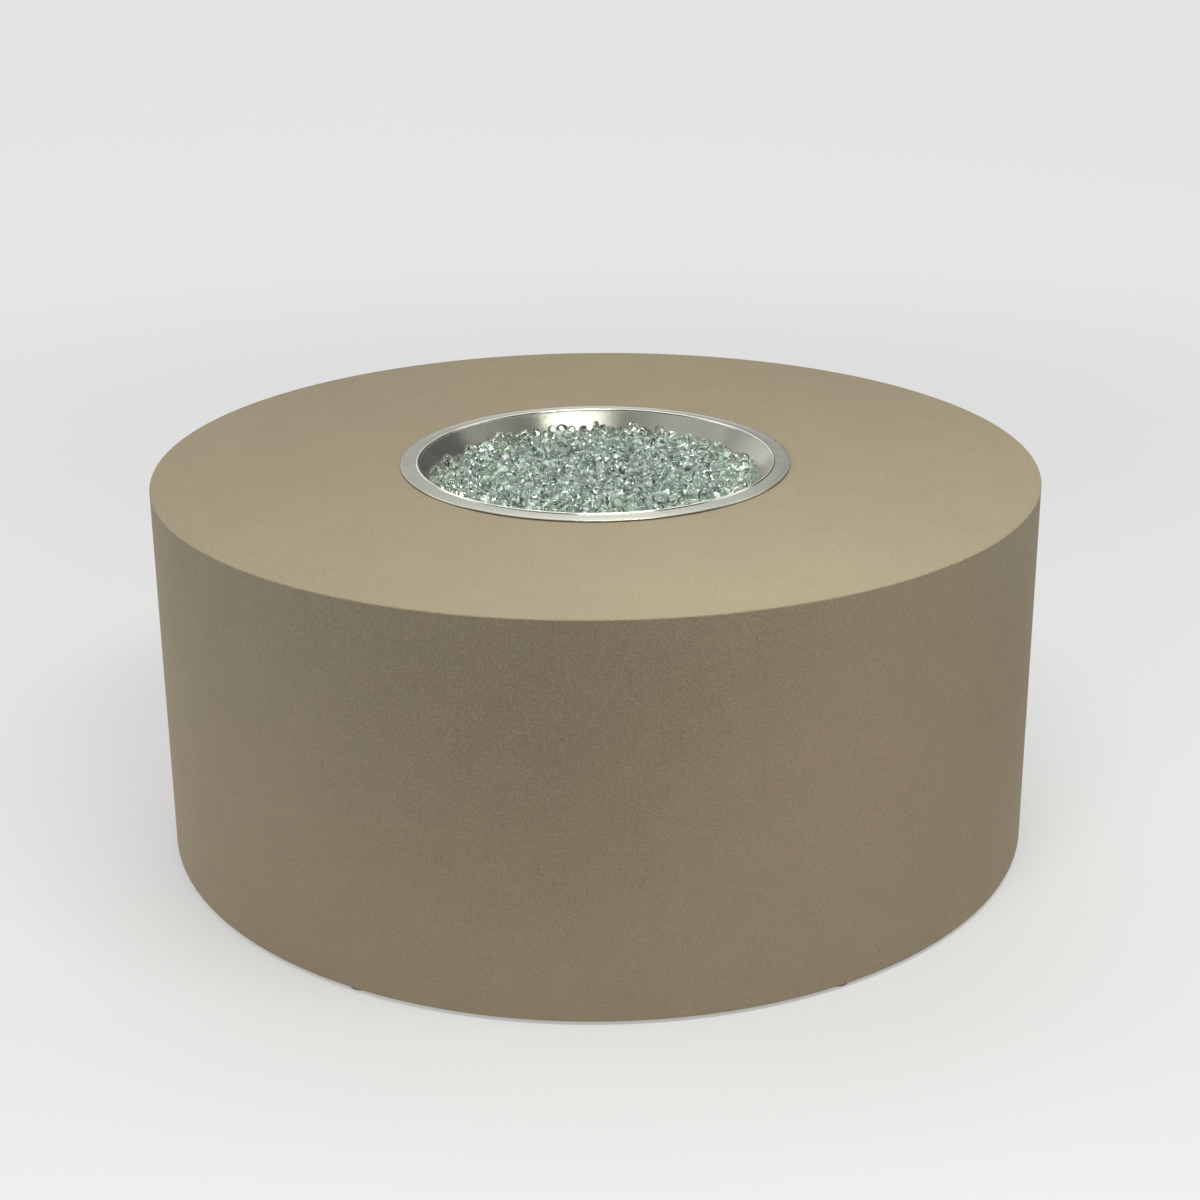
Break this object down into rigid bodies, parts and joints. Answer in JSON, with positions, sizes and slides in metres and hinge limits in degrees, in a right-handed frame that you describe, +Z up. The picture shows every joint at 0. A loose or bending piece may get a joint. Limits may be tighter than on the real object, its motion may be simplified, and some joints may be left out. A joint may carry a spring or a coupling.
{
  "type": "gas fire pit table",
  "caption": "Round seamless concrete fire pit table with a drop-in stainless burner pan full of fire glass and a key valve at the rear.",
  "frame": {"origin": "where the drum's axis meets the floor, at the centre of the footprint", "axes": "+Z up along the drum's axis, the pictured front faces -Y, the key valve and the hose notch are at the rear, +Y"},
  "size_m": [1.0668, 1.1098, 0.4617],
  "materials": {
    "cast_concrete": "matte",
    "pad_rubber": "matte",
    "spun_stainless": "satin",
    "cover_stainless": "satin",
    "screw_steel": "satin",
    "burner_stainless": "satin",
    "fire_glass": "gloss",
    "pipe_iron": "matte",
    "zinc_steel": "satin",
    "valve_brass": "satin",
    "ball_chrome": "polished",
    "trim_chrome": "polished",
    "seal_plastic": "matte",
    "connector_steel": "satin"
  },
  "bodies": {
    "drum": {"drum_shell": "cast_concrete", "foot_pads": "pad_rubber", "vent_cover_right": "cover_stainless", "vent_cover_left": "cover_stainless", "vent_screws": "screw_steel", "valve_body": "valve_brass", "valve_end_cap": "valve_brass", "valve_seats": "seal_plastic", "stem_packing": "seal_plastic", "gland_nut": "valve_brass", "escutcheon": "trim_chrome", "outlet_adapter": "valve_brass", "inlet_elbow": "valve_brass", "valve_flare_nut": "valve_brass", "flex_line": "connector_steel", "pan_flare_nut": "valve_brass"},
    "pan": {"burner_pan": "spun_stainless", "fire_glass": "fire_glass", "burner_ring": "burner_stainless", "hub_plug": "burner_stainless", "supply_nipple": "pipe_iron", "upper_locknut": "zinc_steel", "lower_locknut": "zinc_steel", "pan_washer": "zinc_steel", "pan_adapter": "valve_brass"},
    "valve_rotor": {"valve_stem": "valve_brass", "valve_ball": "ball_chrome"},
    "key": {"gas_key": "trim_chrome"}
  },
  "joints": [
    {"name": "pan_lift", "type": "slide", "parent": "drum", "child": "pan", "axis": [0, 0, 1], "range_m": [0, 0.16]},
    {"name": "valve_turn", "type": "hinge", "parent": "drum", "child": "valve_rotor", "pos_m": [0, 0.47, 0.25], "axis": [0, 1, 0], "range_deg": [0, 90]},
    {"name": "key_pull", "type": "slide", "parent": "valve_rotor", "child": "key", "axis": [0, 1, 0], "range_m": [0, 0.09]}
  ]
}
